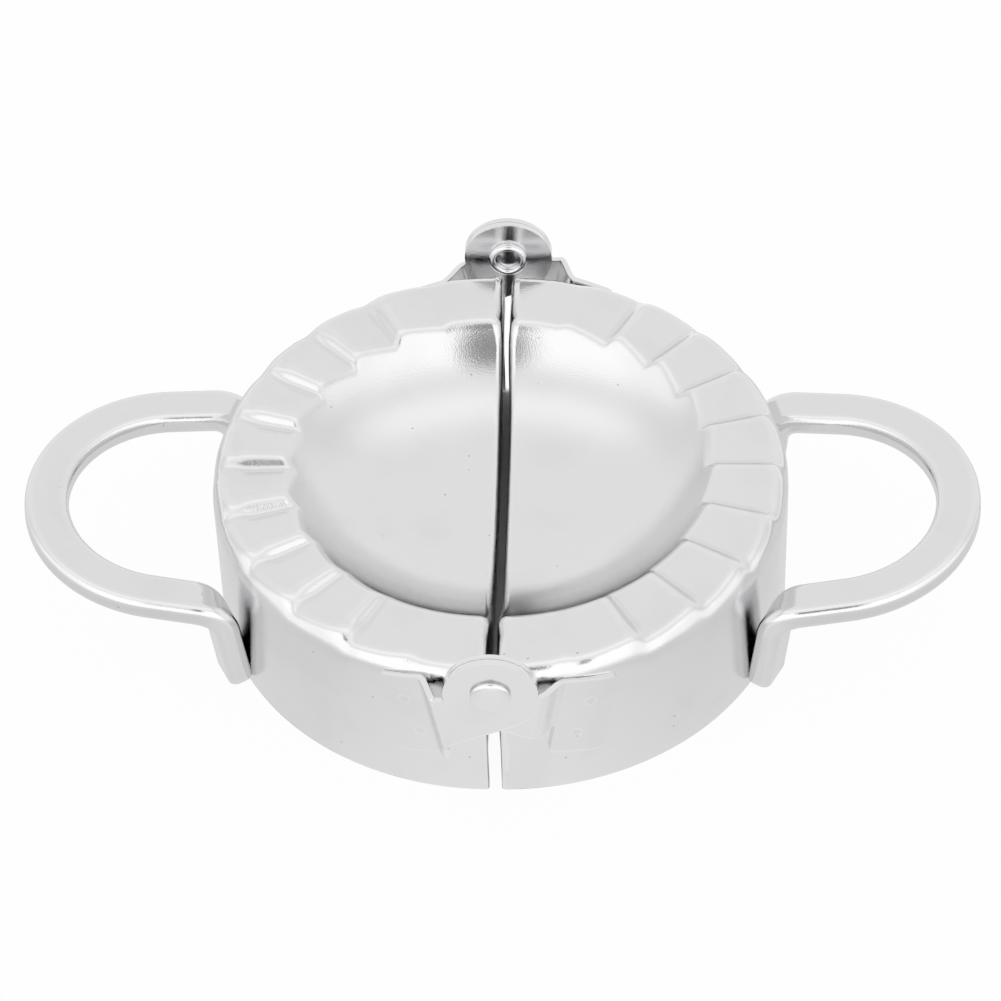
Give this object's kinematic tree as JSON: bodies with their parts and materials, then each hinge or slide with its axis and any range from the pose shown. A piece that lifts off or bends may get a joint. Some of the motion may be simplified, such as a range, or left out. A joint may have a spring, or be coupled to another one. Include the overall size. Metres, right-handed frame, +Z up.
{
  "type": "empanada press",
  "caption": "Hinged stainless steel press that cuts, fills and crimps a folded pastry: half shells with bowls and crimping rims, open flat, each with a bow handle.",
  "frame": {"origin": "on the table under the middle of the hinge line, at the height of the cutting edges", "axes": "+X across the press towards the right handle, +Y along the hinge line towards the back hinge, +Z up out of the bowls"},
  "size_m": [0.1586, 0.1051, 0.0358],
  "materials": {
    "shell_steel": "satin stamped stainless steel",
    "hinge_steel": "satin stainless steel strip",
    "handle_steel": "satin flattened stainless steel rod with bright edges",
    "rivet_steel": "bright steel"
  },
  "bodies": {
    "left_half": {"left_shell": "shell_steel", "left_handle": "handle_steel", "front_left_hinge_plate": "hinge_steel", "back_left_hinge_plate": "hinge_steel", "front_rivet": "rivet_steel", "back_rivet": "rivet_steel"},
    "right_half": {"right_shell": "shell_steel", "right_handle": "handle_steel", "front_right_hinge_plate": "hinge_steel", "back_right_hinge_plate": "hinge_steel"}
  },
  "joints": [
    {"name": "fold", "type": "hinge", "parent": "left_half", "child": "right_half", "pos_m": [0, 0, 0.0283], "axis": [0, -1, 0], "range_deg": [-3, 180]}
  ]
}
